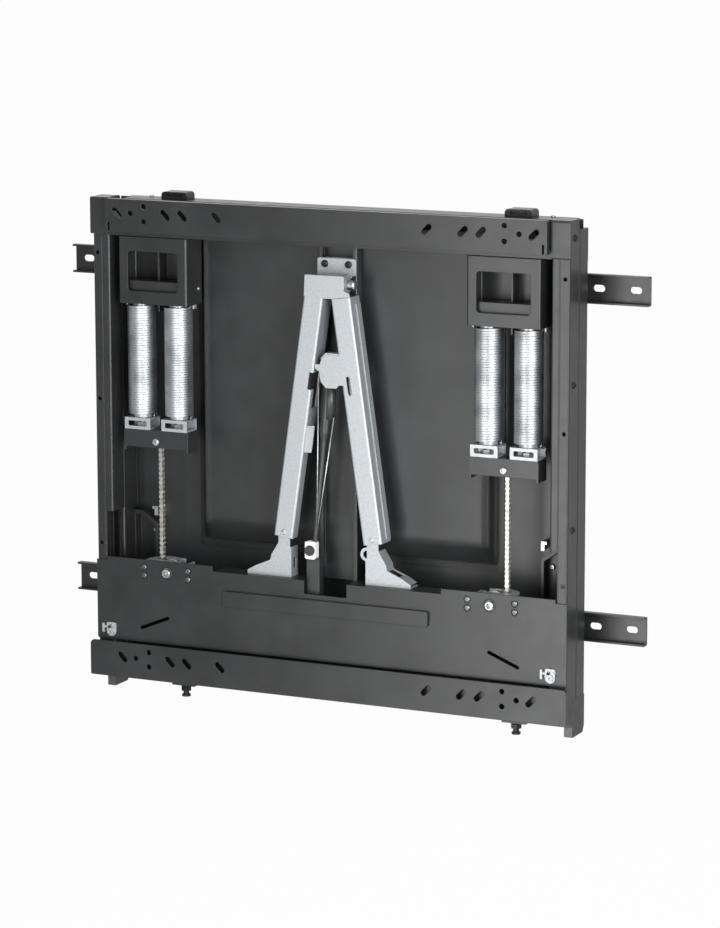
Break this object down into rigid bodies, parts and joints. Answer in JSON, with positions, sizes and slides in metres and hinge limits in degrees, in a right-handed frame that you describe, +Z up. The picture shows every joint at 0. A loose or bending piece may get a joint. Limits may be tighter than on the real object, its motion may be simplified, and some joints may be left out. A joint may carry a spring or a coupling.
{
  "type": "height-adjustable tv wall mount",
  "caption": "Spring-balanced wall mount: a carriage with two slotted display beams slides down a wall frame on guide rollers, carried by coil springs, chains and a central strut frame.",
  "frame": {"origin": "on the wall plane, midway between the two wall rails and midway across the mount", "axes": "+X right along the wall seen from the room, +Y into the wall, +Z up"},
  "size_m": [0.832, 0.103, 0.6895],
  "materials": {
    "powder_coat": "fine-texture black powder coat",
    "dark_parts": "satin black e-coat",
    "zinc_plate": "bright zinc plate",
    "spring_wire": "zinc-plated spring wire",
    "steel_fasteners": "zinc-plated steel",
    "black_fasteners": "black oxide screws",
    "chain_steel": "nickel-plated chain",
    "nylon": "natural nylon",
    "roller_plastic": "acetal",
    "end_block_plastic": "moulded black nylon"
  },
  "bodies": {
    "wall_unit": {"top_wall_rail": "powder_coat", "bottom_wall_rail": "powder_coat", "back_pan": "powder_coat", "raised_panel": "powder_coat", "centre_channel": "dark_parts", "left_fixed_upright": "powder_coat", "right_fixed_upright": "powder_coat", "top_tie": "powder_coat", "bottom_tie": "powder_coat", "left_spring_hanger": "powder_coat", "right_spring_hanger": "powder_coat", "spring_top_plugs": "steel_fasteners", "top_hooks": "dark_parts", "levelling_feet": "dark_parts", "levelling_screws": "black_fasteners", "bay_brackets": "powder_coat", "frame_bolts": "steel_fasteners", "spring_1": "spring_wire", "spring_2": "spring_wire", "spring_3": "spring_wire", "spring_4": "spring_wire"},
    "carriage": {"left_moving_upright": "powder_coat", "right_moving_upright": "powder_coat", "top_beam": "powder_coat", "bottom_beam": "powder_coat", "corner_plates": "powder_coat", "lower_panel": "powder_coat", "cover_strip": "powder_coat", "end_blocks": "end_block_plastic", "roller_brackets": "steel_fasteners", "left_yoke": "powder_coat", "right_yoke": "powder_coat", "spring_clips": "zinc_plate", "yoke_bolts": "steel_fasteners", "left_chain": "chain_steel", "right_chain": "chain_steel", "left_drum_bracket": "zinc_plate", "right_drum_bracket": "zinc_plate", "left_leg": "zinc_plate", "right_leg": "zinc_plate", "left_foot": "zinc_plate", "right_foot": "zinc_plate", "ankle_bolts": "steel_fasteners", "apex_pin": "steel_fasteners", "apex_slider": "nylon", "slider_bracket": "zinc_plate", "slider_screws": "black_fasteners", "strut_rod": "dark_parts", "guide_post": "dark_parts", "nylon_block": "nylon", "catch_plates": "zinc_plate", "panel_screws": "steel_fasteners", "side_bolts": "black_fasteners"},
    "left_drum": {"left_chain_drum": "steel_fasteners"},
    "right_drum": {"right_chain_drum": "steel_fasteners"},
    "left_upper_roller_body": {"left_upper_roller": "roller_plastic"},
    "left_lower_roller_body": {"left_lower_roller": "roller_plastic"},
    "right_upper_roller_body": {"right_upper_roller": "roller_plastic"},
    "right_lower_roller_body": {"right_lower_roller": "roller_plastic"}
  },
  "joints": [
    {"name": "carriage_slide", "type": "slide", "parent": "wall_unit", "child": "carriage", "axis": [0, 0, 1], "range_m": [-0.4, 0], "stiffness_N_per_m": 900, "springref_m": 0.55, "deforming": ["spring_1", "spring_2", "spring_3", "spring_4"]},
    {"name": "left_tension_turn", "type": "hinge", "parent": "carriage", "child": "left_drum", "pos_m": [-0.2346, -0.071, -0.1853], "axis": [0, 1, 0], "range_deg": [-540, 540]},
    {"name": "right_tension_turn", "type": "hinge", "parent": "carriage", "child": "right_drum", "pos_m": [0.2346, -0.071, -0.1853], "axis": [0, 1, 0], "range_deg": [-540, 540]},
    {"name": "left_upper_roller_spin", "type": "hinge", "parent": "carriage", "child": "left_upper_roller_body", "pos_m": [-0.32825, -0.0415, 0.285], "axis": [1, 0, 0], "range_deg": [-1756, 1756]},
    {"name": "left_lower_roller_spin", "type": "hinge", "parent": "carriage", "child": "left_lower_roller_body", "pos_m": [-0.32825, -0.0415, 0.13], "axis": [1, 0, 0], "range_deg": [-1756, 1756]},
    {"name": "right_upper_roller_spin", "type": "hinge", "parent": "carriage", "child": "right_upper_roller_body", "pos_m": [0.32825, -0.0415, 0.285], "axis": [1, 0, 0], "range_deg": [-1756, 1756]},
    {"name": "right_lower_roller_spin", "type": "hinge", "parent": "carriage", "child": "right_lower_roller_body", "pos_m": [0.32825, -0.0415, 0.13], "axis": [1, 0, 0], "range_deg": [-1756, 1756]}
  ],
  "couplings": [
    {"joint": "left_upper_roller_spin", "follows": "carriage_slide", "rad_per_m": -75.758},
    {"joint": "left_lower_roller_spin", "follows": "carriage_slide", "rad_per_m": -75.758},
    {"joint": "right_upper_roller_spin", "follows": "carriage_slide", "rad_per_m": -75.758},
    {"joint": "right_lower_roller_spin", "follows": "carriage_slide", "rad_per_m": -75.758}
  ]
}
